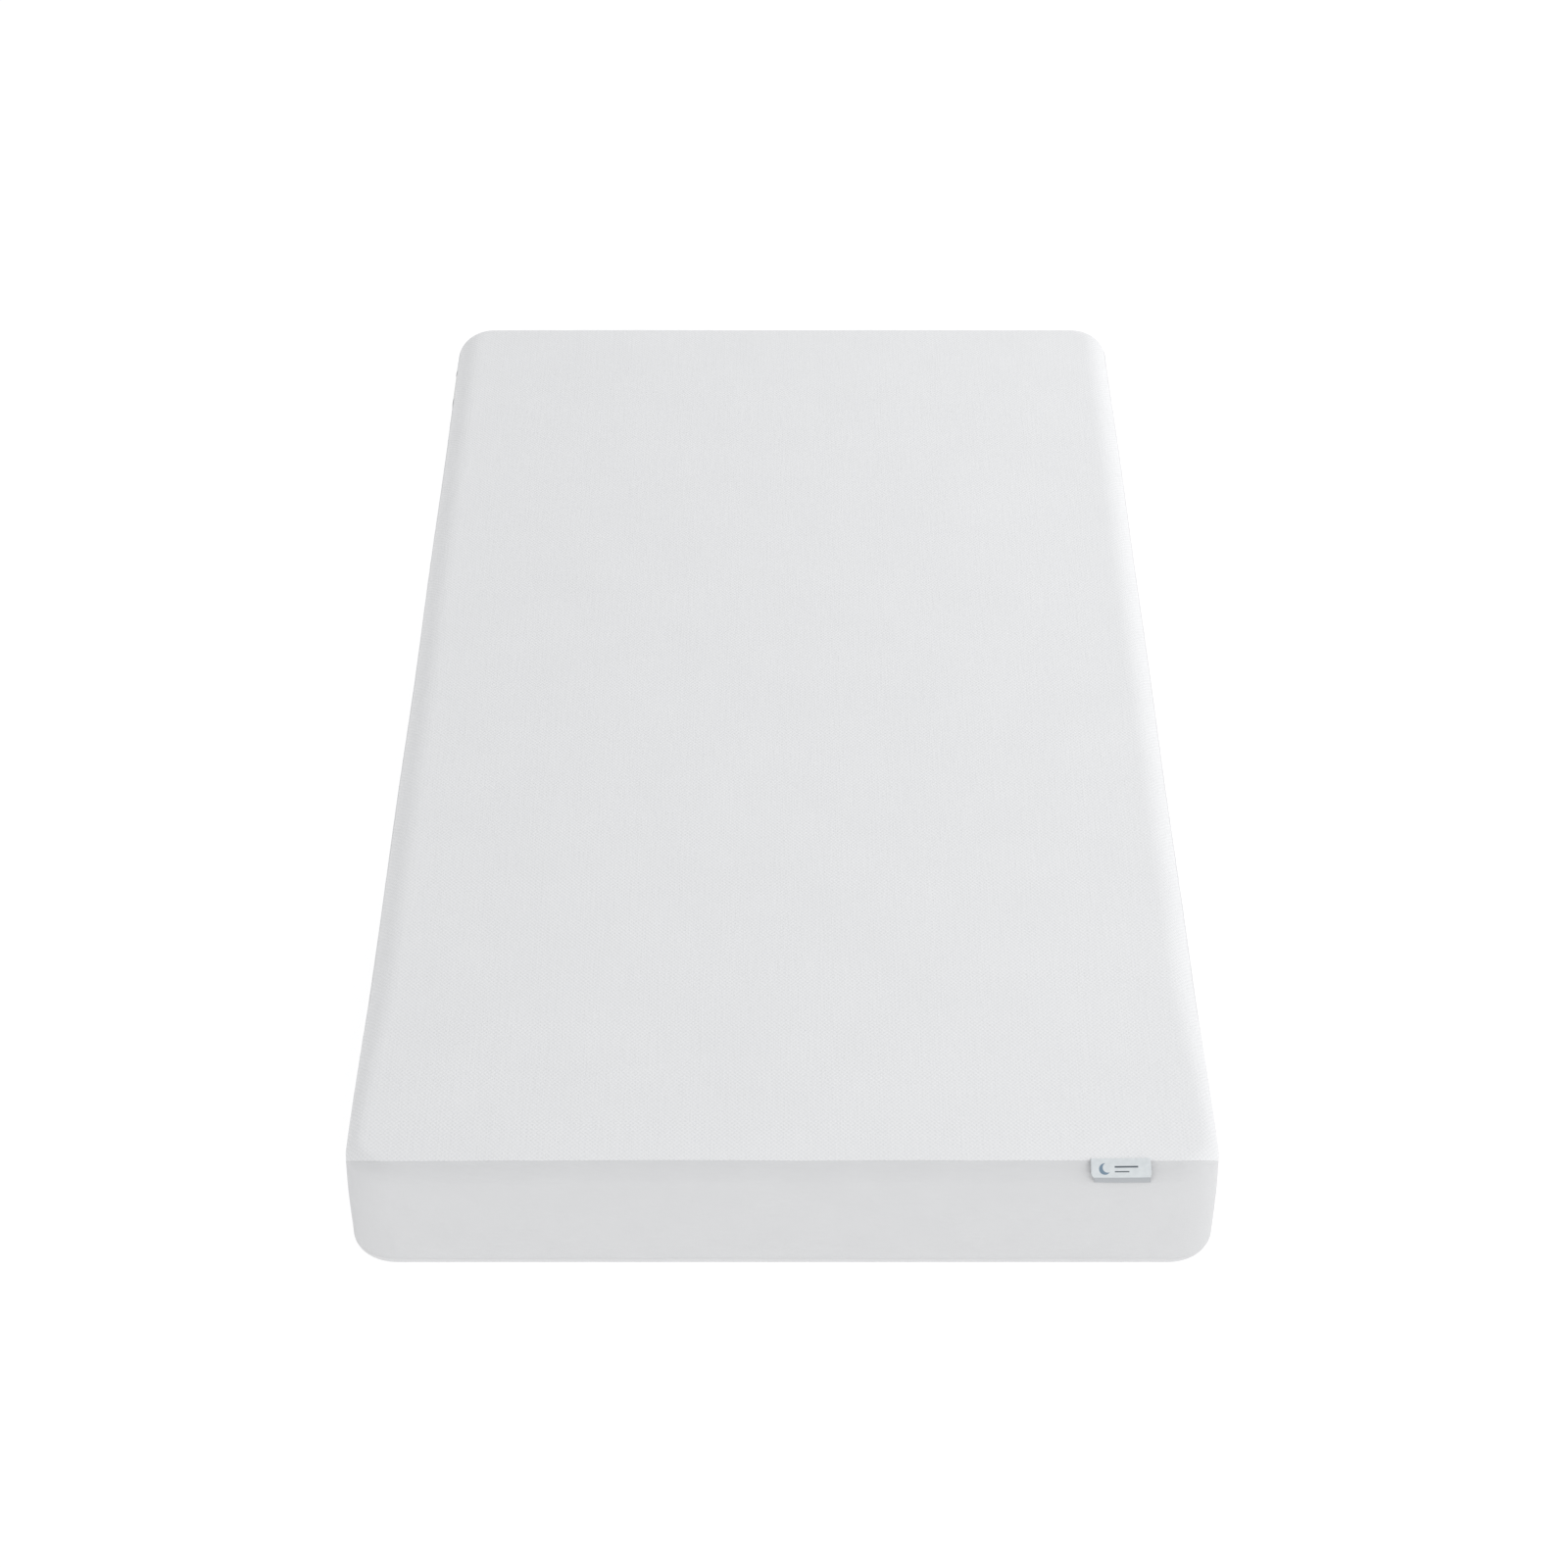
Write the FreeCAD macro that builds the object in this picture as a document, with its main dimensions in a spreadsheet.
import FreeCAD, Part
import math
import os
import re
import sys

import Sketcher
from FreeCAD import Vector

# Twin-size memory foam mattress in a zipped knit cover.
#
# Frame: the origin is on the floor under the middle of the mattress, +X runs across it, +Y runs
# towards the head and +Z is up. The foot end, with the brand label, faces -Y. The zipper is low
# in the head end, which faces +Y, and the blank tags hang on the side that faces -X.
#
# From the outside in: cover (top panel, border, bottom panel), fire sock, foam. Each layer is
# the outer shape of the mattress moved inwards, so every layer is built by the same functions
# from an inset. All sizes are in millimetres.

SIZES = {
    # the mattress
    "cover_width": (990, "overall width, along X"),
    "cover_length": (1905, "overall length, along Y"),
    "cover_height": (152, "overall height, along Z"),
    "corner": (55, "radius of the four upright corners"),
    "top_roll": (14, "radius of the rounded top edge"),
    "bottom_roll": (10, "radius of the rounded bottom edge"),
    "knit": (2, "thickness of the cover fabric"),
    "layer_gap": (0.3, "clearance between cover, sock and foam"),
    "sock": (1.2, "thickness of the fire sock"),
    "memory_depth": (46, "thickness of the memory foam layer"),
    "glue": (0.3, "thickness of the glue film"),
    # seams
    "top_seam": (146, "height of the seam that joins the top panel to the border"),
    "top_seam_inset": (2.5, "how far the rolled edge has turned in at that seam"),
    "bottom_seam": (12, "height of the seam over the bottom panel"),
    "seam_gap": (1, "distance between two sewn edges"),
    "thread": (0.8, "thickness of a seam thread"),
    "thread_depth": (1.2, "depth of a seam thread into the wall"),
    "thread_inset": (0.4, "how far a seam thread lies below the surface"),
    "join_y": (700, "place of the border strip's own join, along Y"),
    "sock_seam_width": (860, "width of the sewn mouth at each end of the sock"),
    # zipper
    "zip_height": (26, "height of the zipper's centre line"),
    "zip_width": (824, "length of the zipper tapes, along X"),
    "zip_window": (28, "height of the border's cut-out for the zipper"),
    "tape": (0.5, "thickness of the zipper tape"),
    "chain_gap": (1.6, "distance between the two coils and between the two tapes"),
    "coil": (2, "height of one coil's section"),
    "coil_depth": (1.8, "thickness of one coil's section"),
    "coil_round": (0.5, "radius of a coil's outer edges"),
    "stitch": (0.4, "thickness of a stitch row"),
    "stitch_edge": (2, "distance of a stitch row from the tape's edge"),
    "stop_length": (3, "length of a stop, along the zipper"),
    "stop_height": (2.6, "height of one top stop"),
    "stop_depth": (2.5, "how far a stop stands out of the tape"),
    "slider_x": (395, "place of the slider with the zipper closed"),
    "slider_length": (12, "length of the slider"),
    "slider_height": (9.2, "height of the slider's wings"),
    "slider_play": (0.5, "distance from the slider to the stops at rest"),
    "outer_wing": (1.2, "thickness of the slider's outer wing"),
    "inner_wing": (0.9, "thickness of the slider's inner wing"),
    "web": (1, "thickness of the web between the wings"),
    "wing_gap": (0.3, "clearance between the slider and the tape or coil"),
    "flange": (1.2, "thickness of the outer wing's turned-in edges"),
    "wing_round": (1.2, "radius of the outer wing's corners"),
    "bail_radius": (2.4, "outer radius of the bail"),
    "bail_hole": (1.1, "radius of the hole through the bail"),
    "bail_width": (2.4, "width of the bail, along Z"),
    "bail_rise": (1.6, "height of the bail's axis over the outer wing"),
    "pull_length": (25, "length of the pull tab"),
    "pull_height": (6.6, "height of the pull tab"),
    "pull_depth": (1.2, "thickness of the pull tab"),
    "pin_radius": (0.7, "radius of the pull's pin in the bail"),
    "pull_window": (2.6, "length of the pull's window, which clears the bail"),
    "window_gap": (0.4, "clearance between the bail and the window's sides"),
    "pull_round": (2.5, "radius of the tab's free corners"),
    # label and tags
    "label_top": (145.2, "height where the label leaves the top seam"),
    "label_x": (378.5, "middle of the brand label, along X"),
    "label_width": (67, "width of the brand label"),
    "label_drop": (26, "height of the folded brand label"),
    "label_ply": (0.4, "thickness of the ribbon"),
    "label_loop": (4, "thickness of the folded loop"),
    "label_gap": (0.4, "distance of the label from the border"),
    "tag_top": (127, "height where the blank tags are sewn to the side"),
    "tag_ply": (0.5, "thickness of the tag material"),
    "tag_gap": (0.8, "distance of the tags from the border"),
    "law_tag_y": (760, "near edge of the large tag, along Y"),
    "law_tag_width": (70, "width of the large tag"),
    "law_tag_drop": (99, "length of the large tag"),
    "care_tag_y": (842, "near edge of the small tag, along Y"),
    "care_tag_width": (32, "width of the small tag"),
    "care_tag_drop": (54, "length of the small tag"),
}

# insets of the layers from the outer surface, as formulas of the sheet
SOCK_OUTSIDE = "knit + layer_gap"
SOCK_INSIDE = "knit + layer_gap + sock"
FOAM_OUTSIDE = "knit + 2 * layer_gap + sock"
MEMORY_BOTTOM = f"cover_height - ({FOAM_OUTSIDE}) - memory_depth"

# the zipper's levels, counted along Y and Z
HEAD_WALL = "cover_length / 2"
TAPE_INSIDE = "cover_length / 2 - tape"
BAIL_AXIS = "cover_length / 2 + coil_depth + 2 * wing_gap + outer_wing + bail_rise"
ZIP_TOP = "bottom_seam + seam_gap / 2 + zip_window"
STOP_X = "slider_x + slider_length / 2 + slider_play"

TOLERANCE = 0.01  # for finding edges and faces by their place
QUARTER_TURN = math.pi / 2
UP = Vector(0, 0, 1)

doc = FreeCAD.newDocument("memory_foam_mattress")
sheet = doc.addObject("Spreadsheet::Sheet", "Sizes")
for row, (alias, (size, meaning)) in enumerate(SIZES.items(), start=1):
    sheet.set(f"A{row}", meaning)
    sheet.set(f"B{row}", str(size))
    sheet.setAlias(f"B{row}", alias)
doc.recompute()


def value(alias):
    """One size from the sheet, as a number."""
    return float(sheet.get(alias))


def bind(item, prop, formula):
    """Tie a property to the sheet. Every word of the formula is an alias."""
    item.setExpression(prop, re.sub(r"[a-z_]+", r"Sizes.\g<0>", formula))


# ---- sketches ----------------------------------------------------------------------------


def new_body(label):
    body = doc.addObject("PartDesign::Body", label)
    body.Label = label
    return body


def new_sketch(body, name, role, offset):
    """A sketch on one of the body's own origin planes, moved along the plane's normal."""
    sketch = body.newObject("Sketcher::SketchObject", name)
    planes = [feature for feature in body.Origin.OriginFeatures if feature.Role == role]
    sketch.AttachmentSupport = [(planes[0], "")]
    sketch.MapMode = "FlatFace"
    bind(sketch, "AttachmentOffset.Base.z", offset)
    return sketch


def add_size(sketch, name, constraint, formula):
    """Add a dimension to the sketch and tie it to the sheet."""
    index = sketch.addConstraint(constraint)
    sketch.renameConstraint(index, name)
    bind(sketch, f"Constraints.{name}", formula)


def add_rounded_rectangle(sketch, name, inset):
    """The mattress's outline in plan, moved inwards by the inset."""
    radius = value("corner")
    right = value("cover_width") / 2
    back = value("cover_length") / 2
    in_x = right - radius
    in_y = back - radius

    def corner(x, y, turn):
        circle = Part.Circle(Vector(x, y, 0), UP, radius)
        return Part.ArcOfCircle(circle, turn * QUARTER_TURN, (turn + 1) * QUARTER_TURN)

    outline = [
        Part.LineSegment(Vector(-in_x, -back, 0), Vector(in_x, -back, 0)),
        corner(in_x, -in_y, -1),
        Part.LineSegment(Vector(right, -in_y, 0), Vector(right, in_y, 0)),
        corner(in_x, in_y, 0),
        Part.LineSegment(Vector(in_x, back, 0), Vector(-in_x, back, 0)),
        corner(-in_x, in_y, 1),
        Part.LineSegment(Vector(-right, in_y, 0), Vector(-right, -in_y, 0)),
        corner(-in_x, -in_y, 2),
    ]
    front, front_right, side, back_right, rear, back_left, far_side, front_left = (
        sketch.addGeometry(outline, False)
    )
    ring = [front, front_right, side, back_right, rear, back_left, far_side, front_left]
    for piece, following in zip(ring, ring[1:] + ring[:1]):
        sketch.addConstraint(Sketcher.Constraint("Tangent", piece, 2, following, 1))
    for level in (front, rear):
        sketch.addConstraint(Sketcher.Constraint("Horizontal", level))
    for upright in (side, far_side):
        sketch.addConstraint(Sketcher.Constraint("Vertical", upright))
    for arc in (back_right, back_left, front_left):
        sketch.addConstraint(Sketcher.Constraint("Equal", front_right, arc))
    sketch.addConstraint(
        Sketcher.Constraint("Symmetric", front_left, 3, back_right, 3, -1, 1)
    )
    add_size(
        sketch, f"{name}_radius",
        Sketcher.Constraint("Radius", front_right, radius), f"corner - ({inset})",
    )
    add_size(
        sketch, f"{name}_width",
        Sketcher.Constraint("DistanceX", far_side, 1, side, 1, 2 * right),
        f"cover_width - 2 * ({inset})",
    )
    add_size(
        sketch, f"{name}_length",
        Sketcher.Constraint("DistanceY", front, 1, rear, 1, 2 * back),
        f"cover_length - 2 * ({inset})",
    )


def add_rectangle(sketch, name, left, right, bottom, top):
    """A rectangle whose four sides are formulas, counted from the sketch's origin."""
    half = value("cover_height") / 2  # a first guess, which the four sizes then correct
    corners = [
        Vector(-half, -half, 0),
        Vector(half, -half, 0),
        Vector(half, half, 0),
        Vector(-half, half, 0),
    ]
    lines = [
        Part.LineSegment(begin, end)
        for begin, end in zip(corners, corners[1:] + corners[:1])
    ]
    low, far, high, near = sketch.addGeometry(lines, False)
    ring = [low, far, high, near]
    for piece, following in zip(ring, ring[1:] + ring[:1]):
        sketch.addConstraint(Sketcher.Constraint("Coincident", piece, 2, following, 1))
    for level in (low, high):
        sketch.addConstraint(Sketcher.Constraint("Horizontal", level))
    for upright in (near, far):
        sketch.addConstraint(Sketcher.Constraint("Vertical", upright))
    for side, kind, line, start, formula in (
        ("left", "DistanceX", near, -half, left),
        ("right", "DistanceX", far, half, right),
        ("bottom", "DistanceY", low, -half, bottom),
        ("top", "DistanceY", high, half, top),
    ):
        constraint = Sketcher.Constraint(kind, -1, 1, line, 1, start)
        add_size(sketch, f"{name}_{side}", constraint, formula)


def add_loop(sketch, name, front, back, top, drop):
    """A long slot, square at the top and half round at the bottom."""
    start_front = -value("cover_length") / 2 - value("label_loop")
    start_back = -value("cover_length") / 2
    radius = (start_back - start_front) / 2
    start_top = value("label_top")
    start_bottom = start_top - value("label_drop")
    top_front = Vector(start_front, start_top, 0)
    top_back = Vector(start_back, start_top, 0)
    low_front = Vector(start_front, start_bottom, 0)
    low_back = Vector(start_back, start_bottom, 0)
    circle = Part.Circle((low_front + low_back) / 2, UP, radius)
    lines = [
        Part.LineSegment(top_back, top_front),
        Part.LineSegment(top_front, low_front),
        Part.ArcOfCircle(circle, 2 * QUARTER_TURN, 4 * QUARTER_TURN),
        Part.LineSegment(low_back, top_back),
    ]
    edge, front_ply, fold, back_ply = sketch.addGeometry(lines, False)
    sketch.addConstraint(Sketcher.Constraint("Coincident", edge, 2, front_ply, 1))
    sketch.addConstraint(Sketcher.Constraint("Tangent", front_ply, 2, fold, 1))
    sketch.addConstraint(Sketcher.Constraint("Tangent", fold, 2, back_ply, 1))
    sketch.addConstraint(Sketcher.Constraint("Coincident", back_ply, 2, edge, 1))
    sketch.addConstraint(Sketcher.Constraint("Horizontal", edge))
    for ply in (front_ply, back_ply):
        sketch.addConstraint(Sketcher.Constraint("Vertical", ply))
    for side, kind, line, end, start, formula in (
        ("front", "DistanceX", front_ply, 1, start_front, front),
        ("back", "DistanceX", back_ply, 2, start_back, back),
        ("top", "DistanceY", edge, 1, start_top, top),
        ("drop", "DistanceY", fold, 3, start_bottom, drop),
    ):
        constraint = Sketcher.Constraint(kind, -1, 1, line, end, start)
        add_size(sketch, f"{name}_{side}", constraint, formula)


# ---- features ----------------------------------------------------------------------------


def add_pad(body, sketch, length):
    pad = body.newObject("PartDesign::Pad", "Pad")
    pad.Profile = sketch
    bind(pad, "Length", length)
    doc.recompute()
    return pad


def add_pocket(body, sketch):
    """Cut right through one wall. The volume tells whether anything was cut."""
    before = body.Shape.Volume
    pocket = body.newObject("PartDesign::Pocket", "Pocket")
    pocket.Profile = sketch
    pocket.Type = "ThroughAll"
    doc.recompute()
    if body.Shape.Volume >= before:
        sys.exit(f"a pocket of {body.Label} cuts nothing")
    return pocket


def add_fillet(body, base, edges, radius):
    fillet = body.newObject("PartDesign::Fillet", "Fillet")
    fillet.Base = (base, edges)
    bind(fillet, "Radius", radius)
    doc.recompute()
    return fillet


def add_shell(body, base, face, wall):
    """Hollow the solid inwards and leave the face open."""
    before = body.Shape.Volume
    shell = body.newObject("PartDesign::Thickness", "Thickness")
    shell.Base = (base, [face])
    shell.Reversed = True
    bind(shell, "Value", wall)
    doc.recompute()
    if body.Shape.Volume >= before:
        sys.exit(f"the shell of {body.Label} grows outwards")
    return shell


def edge_names(shape, wanted):
    """Names of the edges whose box passes the test."""
    return [
        f"Edge{number}"
        for number, edge in enumerate(shape.Edges, start=1)
        if wanted(edge.BoundBox)
    ]


def is_level(box, z):
    return abs(box.ZMin - z) < TOLERANCE and abs(box.ZMax - z) < TOLERANCE


def level_face(shape, z):
    """Name of the flat face at one height."""
    for number, face in enumerate(shape.Faces, start=1):
        if is_level(face.BoundBox, z):
            return f"Face{number}"
    sys.exit(f"no flat face at {z}")


def add_block(body, inset, bottom, height):
    """Pad the mattress's outline, moved inwards by the inset."""
    sketch = new_sketch(body, "Outline", "XY_Plane", bottom)
    add_rounded_rectangle(sketch, "outline", inset)
    return add_pad(body, sketch, height)


def roll_top(body, base, inset):
    top = base.Shape.BoundBox.ZMax
    edges = edge_names(base.Shape, lambda box: is_level(box, top))
    return add_fillet(body, base, edges, f"top_roll - ({inset})")


def roll_bottom(body, base, inset):
    bottom = base.Shape.BoundBox.ZMin
    edges = edge_names(base.Shape, lambda box: is_level(box, bottom))
    return add_fillet(body, base, edges, f"bottom_roll - ({inset})")


def add_box(body, kind, name, low, size):
    """A box feature from its low corner and its size, both as three formulas."""
    box = body.newObject(f"PartDesign::{kind}Box", name)
    for prop, formula in zip(("Length", "Width", "Height"), size):
        bind(box, prop, formula)
    for axis, formula in zip("xyz", low):
        bind(box, f"Placement.Base.{axis}", formula)
    return box


def add_cylinder(body, kind, name, radius, base, height):
    """An upright cylinder feature from the middle of its base, as three formulas."""
    cylinder = body.newObject(f"PartDesign::{kind}Cylinder", name)
    bind(cylinder, "Radius", radius)
    bind(cylinder, "Height", height)
    for axis, formula in zip("xyz", base):
        bind(cylinder, f"Placement.Base.{axis}", formula)
    return cylinder


def box_body(label, low, size):
    body = new_body(label)
    add_box(body, "Additive", "Block", low, size)
    return body


def add_group(label, boxes):
    """Separate like pieces that share one node."""
    pieces = []
    for number, (low, size) in enumerate(boxes, start=1):
        pieces.append(box_body(f"{label}_{number}", low, size))
    group = doc.addObject("Part::Compound", label)
    group.Label = label
    group.Links = pieces
    return group


# ---- foam and sock -----------------------------------------------------------------------

def make_memory_foam_layer():
    body = new_body("memory_foam_layer")
    block = add_block(body, FOAM_OUTSIDE, MEMORY_BOTTOM, "memory_depth")
    roll_top(body, block, FOAM_OUTSIDE)
    return body


def make_foam_adhesive_film():
    body = new_body("foam_adhesive_film")
    add_block(body, FOAM_OUTSIDE, f"{MEMORY_BOTTOM} - glue", "glue")
    return body


def make_support_foam_base():
    body = new_body("support_foam_base")
    depth = f"{MEMORY_BOTTOM} - glue - ({FOAM_OUTSIDE})"
    block = add_block(body, FOAM_OUTSIDE, FOAM_OUTSIDE, depth)
    roll_bottom(body, block, FOAM_OUTSIDE)
    return body


def make_fire_sock():
    """A knitted tube round the foam, with a sewn mouth across each end."""
    solids = []
    for name, inset in (("sock_outside", SOCK_OUTSIDE), ("sock_inside", SOCK_INSIDE)):
        body = new_body(name)
        block = add_block(body, inset, inset, f"cover_height - 2 * ({inset})")
        rolled = roll_top(body, block, inset)
        roll_bottom(body, rolled, inset)
        solids.append(body)
    hollow = doc.addObject("Part::Cut", "sock_hollow")
    hollow.Base, hollow.Tool = solids
    mouth = box_body(
        "sock_mouth",
        ("-sock_seam_width / 2", "-cover_length / 2", "(cover_height - seam_gap) / 2"),
        ("sock_seam_width", "cover_length", "seam_gap"),
    )
    sock = doc.addObject("Part::Cut", "fire_sock")
    sock.Label = "fire_sock"
    sock.Base = hollow
    sock.Tool = mouth
    return sock


def make_sock_seam(label, low_y):
    """The thread that closes one mouth of the sock."""
    return box_body(
        label,
        ("-sock_seam_width / 2 + seam_gap", low_y, "(cover_height - thread) / 2"),
        ("sock_seam_width - 2 * seam_gap", "sock", "thread"),
    )


# ---- cover -------------------------------------------------------------------------------


def make_rolled_cap(label):
    """The cover above its bottom seam, open below, with the rolled top edge."""
    body = new_body(label)
    bottom = "bottom_seam + seam_gap / 2"
    block = add_block(body, "0", bottom, f"cover_height - ({bottom})")
    rolled = roll_top(body, block, "0")
    open_face = level_face(rolled.Shape, rolled.Shape.BoundBox.ZMin)
    add_shell(body, rolled, open_face, "knit")
    return body


def cut_away(body, bottom, height):
    """Remove everything between two levels."""
    low = ("-cover_width / 2", "-cover_length / 2", bottom)
    add_box(body, "Subtractive", "Trim", low, ("cover_width", "cover_length", height))


def make_cover_top_panel():
    body = make_rolled_cap("cover_top_panel")
    cut_away(body, "0", "top_seam + seam_gap / 2")
    return body


def make_cover_bottom_panel():
    body = new_body("cover_bottom_panel")
    block = add_block(body, "0", "0", "bottom_seam - seam_gap / 2")
    rolled = roll_bottom(body, block, "0")
    open_face = level_face(rolled.Shape, value("bottom_seam") - value("seam_gap") / 2)
    add_shell(body, rolled, open_face, "knit")
    return body


def make_cover_border():
    """A strip round all four sides, with a cut-out for the zipper and an upright join."""
    body = make_rolled_cap("cover_border")
    cut_away(body, "top_seam - seam_gap / 2", "cover_height - top_seam + seam_gap / 2")
    window = new_sketch(body, "Window", "XZ_Plane", "0")
    add_rectangle(
        window, "window", "-zip_width / 2", "zip_width / 2", "bottom_seam - seam_gap", ZIP_TOP
    )
    add_pocket(body, window)
    join = new_sketch(body, "Join", "YZ_Plane", "0")
    add_rectangle(
        join, "join", "join_y - seam_gap / 2", "join_y + seam_gap / 2", "0", "cover_height"
    )
    add_pocket(body, join)
    return body


def make_seam_thread(label, seam, inset):
    """A thread right round the mattress, between two sewn edges."""
    body = new_body(label)
    sketch = new_sketch(body, "Ring", "XY_Plane", f"{seam} - thread / 2")
    add_rounded_rectangle(sketch, "outside", inset)
    add_rounded_rectangle(sketch, "inside", f"{inset} + thread_depth")
    add_pad(body, sketch, "thread")
    return body


def make_border_join_thread():
    """The thread of the border's own join, up to where the edge rolls in."""
    return box_body(
        "border_join_thread",
        (
            "-cover_width / 2 + thread_inset",
            "join_y - thread / 2",
            "bottom_seam + seam_gap / 2",
        ),
        ("thread_depth", "thread", "cover_height - top_roll - bottom_seam - seam_gap / 2"),
    )


# ---- zipper ------------------------------------------------------------------------------


def make_zipper_tape(label, low_z, height):
    return box_body(
        label, ("-zip_width / 2", TAPE_INSIDE, low_z), ("zip_width", "tape", height)
    )


def make_zipper_coil(label, low_z):
    """One row of the chain, which ends short of the stops."""
    half = "slider_x + slider_length / 2 + wing_gap"
    body = box_body(
        label, (f"-({half})", HEAD_WALL, low_z), (f"2 * ({half})", "coil_depth", "coil")
    )
    doc.recompute()
    outside = body.Shape.BoundBox.YMax - TOLERANCE
    long_outer = edge_names(
        body.Shape, lambda box: box.YMin > outside and box.ZLength < TOLERANCE
    )
    add_fillet(body, body.Tip, long_outer, "coil_round")
    return body


def make_zipper_stitching():
    """Two rows, one along the outer edge of each tape."""
    low_row = "bottom_seam + seam_gap / 2 + stitch_edge - stitch / 2"
    high_row = f"{ZIP_TOP} - stitch_edge - stitch / 2"
    length = "zip_width - 2 * stitch_edge"
    boxes = []
    for row_z in (low_row, high_row):
        low = ("-zip_width / 2 + stitch_edge", HEAD_WALL, row_z)
        boxes.append((low, (length, "stitch", "stitch")))
    return add_group("zipper_stitching", boxes)


def make_zipper_top_stops():
    """One stop on each tape, where the slider arrives when the zipper closes."""
    size = ("stop_length", "stop_depth", "stop_height")
    upper = (STOP_X, HEAD_WALL, "zip_height + chain_gap / 2")
    lower = (STOP_X, HEAD_WALL, "zip_height - chain_gap / 2 - stop_height")
    return add_group("zipper_top_stops", [(upper, size), (lower, size)])


def make_zipper_bottom_stop():
    """One stop across both tapes, where the zipper begins."""
    return box_body(
        "zipper_bottom_stop",
        (
            f"-({STOP_X}) - stop_length",
            HEAD_WALL,
            "zip_height - chain_gap / 2 - stop_height",
        ),
        ("stop_length", "stop_depth", "2 * stop_height + chain_gap"),
    )


def make_zipper_slider():
    """Two wings joined by a web that runs between the tapes, with a bail for the pull."""
    body = new_body("zipper_slider")
    low_x = "slider_x - slider_length / 2"
    low_z = "zip_height - slider_height / 2"
    wing_inside = "cover_length / 2 + coil_depth + 2 * wing_gap"
    inner_outside = "cover_length / 2 - tape - wing_gap"
    outer = add_box(
        body, "Additive", "OuterWing",
        (low_x, wing_inside, low_z),
        ("slider_length", "outer_wing", "slider_height"),
    )
    doc.recompute()
    wing_corners = edge_names(
        outer.Shape, lambda box: box.XLength < TOLERANCE and box.ZLength < TOLERANCE
    )
    add_fillet(body, outer, wing_corners, "wing_round")
    flange_front = "cover_length / 2 + wing_gap"
    flange_depth = "coil_depth + wing_gap"
    for name, flange_z in (
        ("LowFlange", low_z),
        ("HighFlange", "zip_height + slider_height / 2 - flange"),
    ):
        add_box(
            body, "Additive", name,
            ("slider_x - slider_length / 2 + flange", flange_front, flange_z),
            ("slider_length - 2 * flange", flange_depth, "flange"),
        )
    add_box(
        body, "Additive", "Web",
        (low_x, inner_outside, "zip_height - web / 2"),
        ("slider_length", "tape + coil_depth + 3 * wing_gap", "web"),
    )
    add_box(
        body, "Additive", "InnerWing",
        (low_x, f"{inner_outside} - inner_wing", low_z),
        ("slider_length", "inner_wing", "slider_height"),
    )
    middle = ("slider_x", BAIL_AXIS, "zip_height - bail_width / 2")
    add_cylinder(body, "Additive", "Bail", "bail_radius", middle, "bail_width")
    add_cylinder(body, "Subtractive", "BailHole", "bail_hole", middle, "bail_width")
    return body


def make_zipper_pull():
    """A flat tab that swings about its own pin in the slider's bail."""
    body = new_body("zipper_pull")
    low_y = f"{BAIL_AXIS} - pull_depth / 2"
    tab = add_box(
        body, "Additive", "Tab",
        ("slider_x - pull_length", low_y, "zip_height - pull_height / 2"),
        ("pull_length", "pull_depth", "pull_height"),
    )
    doc.recompute()
    free_end = value("slider_x") - value("pull_length") + TOLERANCE
    free_corners = edge_names(
        tab.Shape, lambda box: box.XMax < free_end and box.ZLength < TOLERANCE
    )
    add_fillet(body, tab, free_corners, "pull_round")
    add_box(
        body, "Subtractive", "Window",
        (
            "slider_x - bail_radius - window_gap",
            low_y,
            "zip_height - bail_width / 2 - window_gap",
        ),
        ("pull_window + window_gap", "pull_depth", "bail_width + 2 * window_gap"),
    )
    add_cylinder(
        body, "Additive", "Pin", "pin_radius",
        ("slider_x", BAIL_AXIS, "zip_height - pull_height / 2"), "pull_height",
    )
    return body


# ---- label and tags ----------------------------------------------------------------------


def make_brand_label():
    """A ribbon folded into a loop, sewn into the top seam of the foot end."""
    body = new_body("brand_label")
    sketch = new_sketch(body, "Fold", "YZ_Plane", "label_x - label_width / 2")
    back = "-cover_length / 2 - label_gap"
    front = f"{back} - label_loop"
    fold = "label_top - label_drop + label_loop / 2"
    add_loop(sketch, "outside", front, back, "label_top", fold)
    add_loop(
        sketch, "inside", f"{front} + label_ply", f"{back} - label_ply",
        "label_top - label_ply", fold,
    )
    add_pad(body, sketch, "label_width")
    return body


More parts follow.
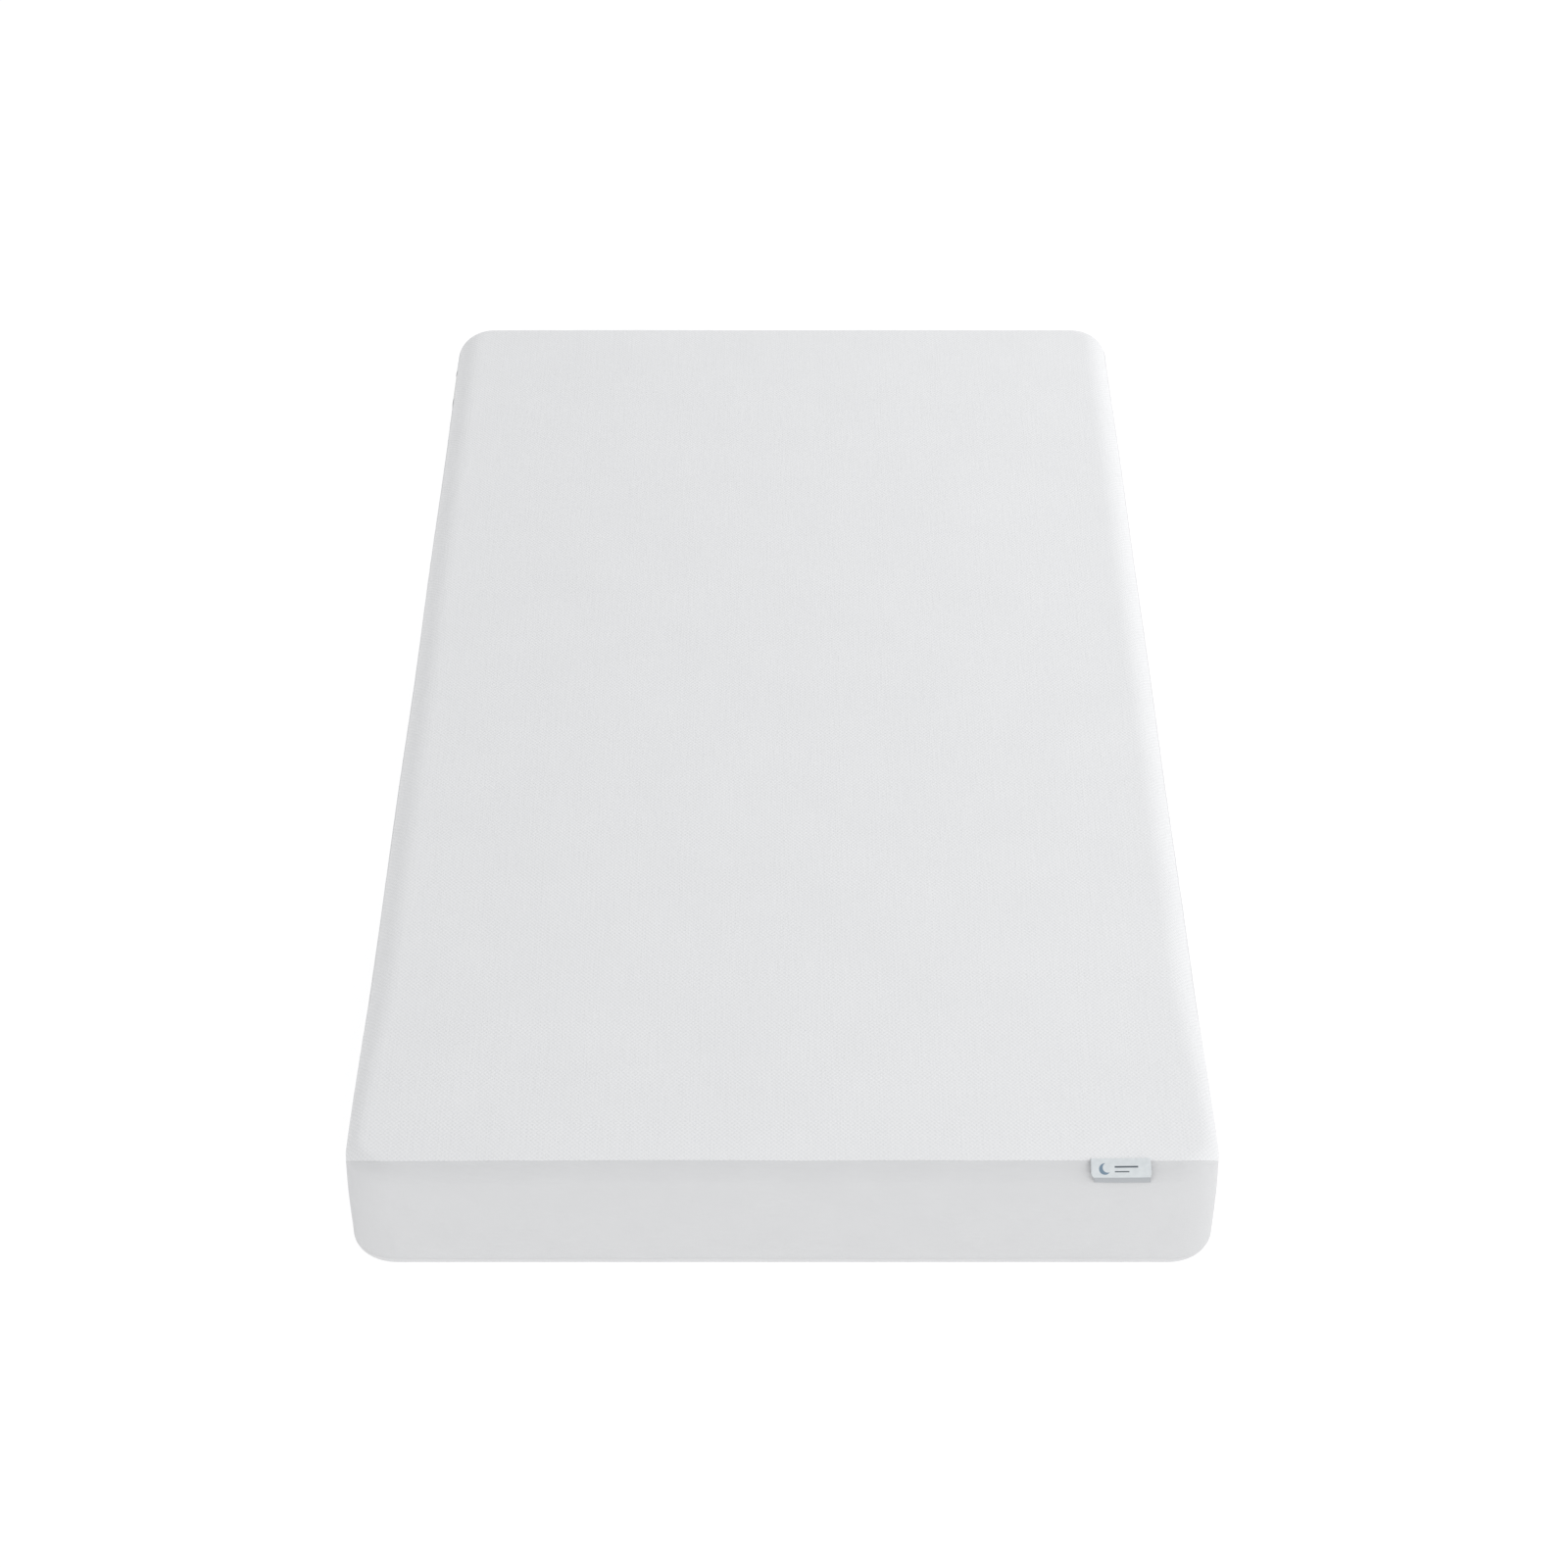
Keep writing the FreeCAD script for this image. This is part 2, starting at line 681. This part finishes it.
def make_tag(label):
    """A single blank ply, sewn to the side of the border by its upper edge."""
    low = (
        "-cover_width / 2 - tag_gap - tag_ply",
        f"{label}_y",
        f"tag_top - {label}_drop",
    )
    return box_body(label, low, ("tag_ply", f"{label}_width", f"{label}_drop"))


SUB_PARTS = [
    make_memory_foam_layer(),
    make_foam_adhesive_film(),
    make_support_foam_base(),
    make_fire_sock(),
    make_sock_seam("fire_sock_seam_foot", f"-cover_length / 2 + {SOCK_OUTSIDE}"),
    make_sock_seam("fire_sock_seam_head", f"cover_length / 2 - ({SOCK_INSIDE})"),
    make_cover_top_panel(),
    make_cover_border(),
    make_cover_bottom_panel(),
    make_seam_thread("top_seam_thread", "top_seam", "top_seam_inset + thread_inset"),
    make_seam_thread("bottom_seam_thread", "bottom_seam", "thread_inset"),
    make_border_join_thread(),
    make_zipper_tape(
        "zipper_tape_upper",
        "zip_height + chain_gap / 2",
        f"{ZIP_TOP} - zip_height - chain_gap / 2",
    ),
    make_zipper_tape(
        "zipper_tape_lower",
        "bottom_seam + seam_gap / 2",
        "zip_height - chain_gap / 2 - bottom_seam - seam_gap / 2",
    ),
    make_zipper_coil("zipper_coil_upper", "zip_height + chain_gap / 2"),
    make_zipper_coil("zipper_coil_lower", "zip_height - chain_gap / 2 - coil"),
    make_zipper_stitching(),
    make_zipper_top_stops(),
    make_zipper_bottom_stop(),
    make_zipper_slider(),
    make_zipper_pull(),
    make_brand_label(),
    make_tag("law_tag"),
    make_tag("care_tag"),
]

doc.recompute()
for item in doc.Objects:
    if "Invalid" in item.State or "Error" in item.State:
        sys.exit(f"{item.Label} failed: {item.State}")
for part in SUB_PARTS:
    if part.Shape.isNull() or not part.Shape.isValid():
        sys.exit(f"{part.Label} has no valid shape")

os.makedirs("parts", exist_ok=True)
for part in SUB_PARTS:
    part.Shape.exportStep(f"parts/{part.Label}.step")
    box = part.Shape.BoundBox
    print(
        f"{part.Label:22} {len(part.Shape.Solids)} solid(s) {part.Shape.Volume / 1000:12.3f} cm3"
        f"  x {box.XMin:8.2f} {box.XMax:8.2f}  y {box.YMin:8.2f} {box.YMax:8.2f}"
        f"  z {box.ZMin:7.2f} {box.ZMax:7.2f}"
    )
